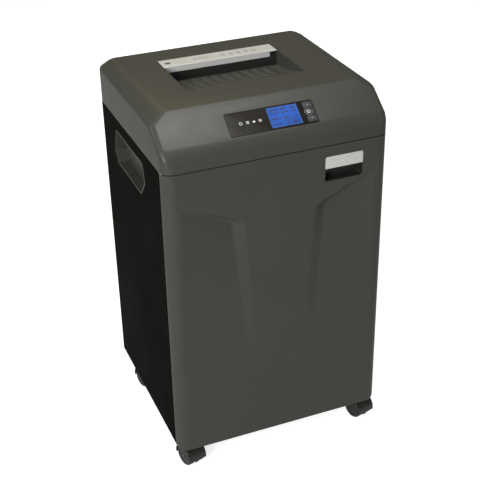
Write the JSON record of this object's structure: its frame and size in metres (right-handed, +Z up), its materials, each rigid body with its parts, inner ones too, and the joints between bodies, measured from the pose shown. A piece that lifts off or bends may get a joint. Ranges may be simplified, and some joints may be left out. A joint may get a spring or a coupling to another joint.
{
  "type": "paper shredder",
  "caption": "Floor-standing office shredder with a sloped control face, a top feed slot, a sculpted hinged door, side carry cups and casters.",
  "frame": {"origin": "on the floor, under the middle of the cabinet", "axes": "+Z up, -Y towards the person feeding paper, +X to the right of someone facing the door"},
  "size_m": [0.485, 0.417, 0.826],
  "materials": {
    "housing": "fine satin texture",
    "side_board": "black melamine over board",
    "silver": "satin",
    "black_plastic": "satin",
    "gloss_black": "gloss",
    "display_blue": "backlit display glass",
    "button": "satin",
    "circuit_board": "solder mask",
    "zinc_steel": "zinc plated",
    "dark_steel": "oiled",
    "bronze": "sintered",
    "bin_plastic": "moulded",
    "motor_paint": "enamel",
    "capacitor_can": "satin",
    "wheel_plastic": "satin nylon",
    "rocker_red": "satin black"
  },
  "bodies": {
    "cabinet": {"side_panel_left": "side_board", "side_panel_right": "side_board", "handle_cup_left": "housing", "handle_cup_right": "housing", "base_panel": "side_board", "rear_panel": "side_board", "panel_screws": "dark_steel", "deck_plate": "zinc_steel", "front_crossbar": "zinc_steel", "hinge_brackets": "zinc_steel", "waste_bin": "bin_plastic", "bin_rails": "bin_plastic", "magnet_catch": "black_plastic", "reed_switch": "black_plastic", "bin_full_sensor": "black_plastic", "head_cover": "housing", "paper_ramp": "housing", "label_bar": "silver", "rear_chute": "black_plastic", "control_lens": "gloss_black", "lcd_module": "display_blue", "control_board": "circuit_board", "cutter_plate_left": "zinc_steel", "cutter_plate_right": "zinc_steel", "cutter_bearings": "bronze", "tie_rods": "zinc_steel", "comb_front": "zinc_steel", "comb_rear": "zinc_steel", "intermediate_shaft": "zinc_steel", "motor_body": "motor_paint", "motor_saddle": "zinc_steel", "run_capacitor": "capacitor_can", "main_board": "circuit_board", "power_inlet": "black_plastic", "rocker_frame": "black_plastic"},
    "door": {"door_shell": "housing", "door_inner_panel": "housing", "hinge_bushes": "black_plastic", "handle_pocket": "black_plastic", "handle_plate": "silver", "strike_and_magnet": "zinc_steel"},
    "power_key": {"power_button": "button"},
    "forward_key": {"forward_button": "button"},
    "reverse_key": {"reverse_button": "button"},
    "rocker": {"rocker_switch": "rocker_red"},
    "front_rotor": {"cutter_front": "dark_steel", "sync_gear_front": "dark_steel", "final_gear": "dark_steel"},
    "rear_rotor": {"cutter_rear": "dark_steel", "sync_gear_rear": "dark_steel"},
    "idler": {"intermediate_gear": "dark_steel"},
    "motor_rotor": {"motor_pinion": "dark_steel"},
    "swivel_front_left": {"caster_housing_front_left": "black_plastic"},
    "wheels_front_left": {"caster_wheels_front_left": "wheel_plastic"},
    "swivel_rear_left": {"caster_housing_rear_left": "black_plastic"},
    "wheels_rear_left": {"caster_wheels_rear_left": "wheel_plastic"},
    "swivel_front_right": {"caster_housing_front_right": "black_plastic"},
    "wheels_front_right": {"caster_wheels_front_right": "wheel_plastic"},
    "swivel_rear_right": {"caster_housing_rear_right": "black_plastic"},
    "wheels_rear_right": {"caster_wheels_rear_right": "wheel_plastic"}
  },
  "joints": [
    {"name": "door_hinge", "type": "hinge", "parent": "cabinet", "child": "door", "pos_m": [-0.2365, -0.1875, 0.4], "axis": [0, 0, -1], "range_deg": [0, 110]},
    {"name": "power_press", "type": "slide", "parent": "cabinet", "child": "power_key", "axis": [0, 0.5882, -0.8087], "range_m": [0, 0.0009], "stiffness_N_per_m": 400},
    {"name": "forward_press", "type": "slide", "parent": "cabinet", "child": "forward_key", "axis": [0, 0.5882, -0.8087], "range_m": [0, 0.0009], "stiffness_N_per_m": 400},
    {"name": "reverse_press", "type": "slide", "parent": "cabinet", "child": "reverse_key", "axis": [0, 0.5882, -0.8087], "range_m": [0, 0.0009], "stiffness_N_per_m": 400},
    {"name": "rocker_tilt", "type": "hinge", "parent": "cabinet", "child": "rocker", "pos_m": [-0.095, 0.2005, 0.69], "axis": [-1, 0, 0], "range_deg": [0, 24]},
    {"name": "cutter_front_spin", "type": "hinge", "parent": "cabinet", "child": "front_rotor", "pos_m": [0, 0.077, 0.69], "axis": [1, 0, 0], "continuous": true},
    {"name": "cutter_rear_spin", "type": "hinge", "parent": "cabinet", "child": "rear_rotor", "pos_m": [0, 0.115, 0.69], "axis": [1, 0, 0], "continuous": true},
    {"name": "idler_spin", "type": "hinge", "parent": "cabinet", "child": "idler", "pos_m": [0.17, 0.029, 0.69], "axis": [1, 0, 0], "continuous": true},
    {"name": "motor_spin", "type": "hinge", "parent": "cabinet", "child": "motor_rotor", "pos_m": [0.17, -0.016, 0.69], "axis": [1, 0, 0], "continuous": true},
    {"name": "swivel_front_left", "type": "hinge", "parent": "cabinet", "child": "swivel_front_left", "pos_m": [-0.21, -0.156, 0.06], "axis": [0, 0, 1], "continuous": true},
    {"name": "roll_front_left", "type": "hinge", "parent": "swivel_front_left", "child": "wheels_front_left", "pos_m": [-0.20533, -0.17545, 0.025], "axis": [0.9724, 0.2334, 0], "continuous": true},
    {"name": "swivel_rear_left", "type": "hinge", "parent": "cabinet", "child": "swivel_rear_left", "pos_m": [-0.21, 0.156, 0.06], "axis": [0, 0, 1], "continuous": true},
    {"name": "roll_rear_left", "type": "hinge", "parent": "swivel_rear_left", "child": "wheels_rear_left", "pos_m": [-0.20533, 0.13655, 0.025], "axis": [0.9724, 0.2334, 0], "continuous": true},
    {"name": "swivel_front_right", "type": "hinge", "parent": "cabinet", "child": "swivel_front_right", "pos_m": [0.21, -0.156, 0.06], "axis": [0, 0, 1], "continuous": true},
    {"name": "roll_front_right", "type": "hinge", "parent": "swivel_front_right", "child": "wheels_front_right", "pos_m": [0.21467, -0.17545, 0.025], "axis": [0.9724, 0.2334, 0], "continuous": true},
    {"name": "swivel_rear_right", "type": "hinge", "parent": "cabinet", "child": "swivel_rear_right", "pos_m": [0.21, 0.156, 0.06], "axis": [0, 0, 1], "continuous": true},
    {"name": "roll_rear_right", "type": "hinge", "parent": "swivel_rear_right", "child": "wheels_rear_right", "pos_m": [0.21467, 0.13655, 0.025], "axis": [0.9724, 0.2334, 0], "continuous": true}
  ],
  "couplings": [
    {"joint": "cutter_rear_spin", "follows": "cutter_front_spin", "ratio": -1},
    {"joint": "idler_spin", "follows": "cutter_front_spin", "ratio": -3},
    {"joint": "motor_spin", "follows": "cutter_front_spin", "ratio": 12}
  ]
}
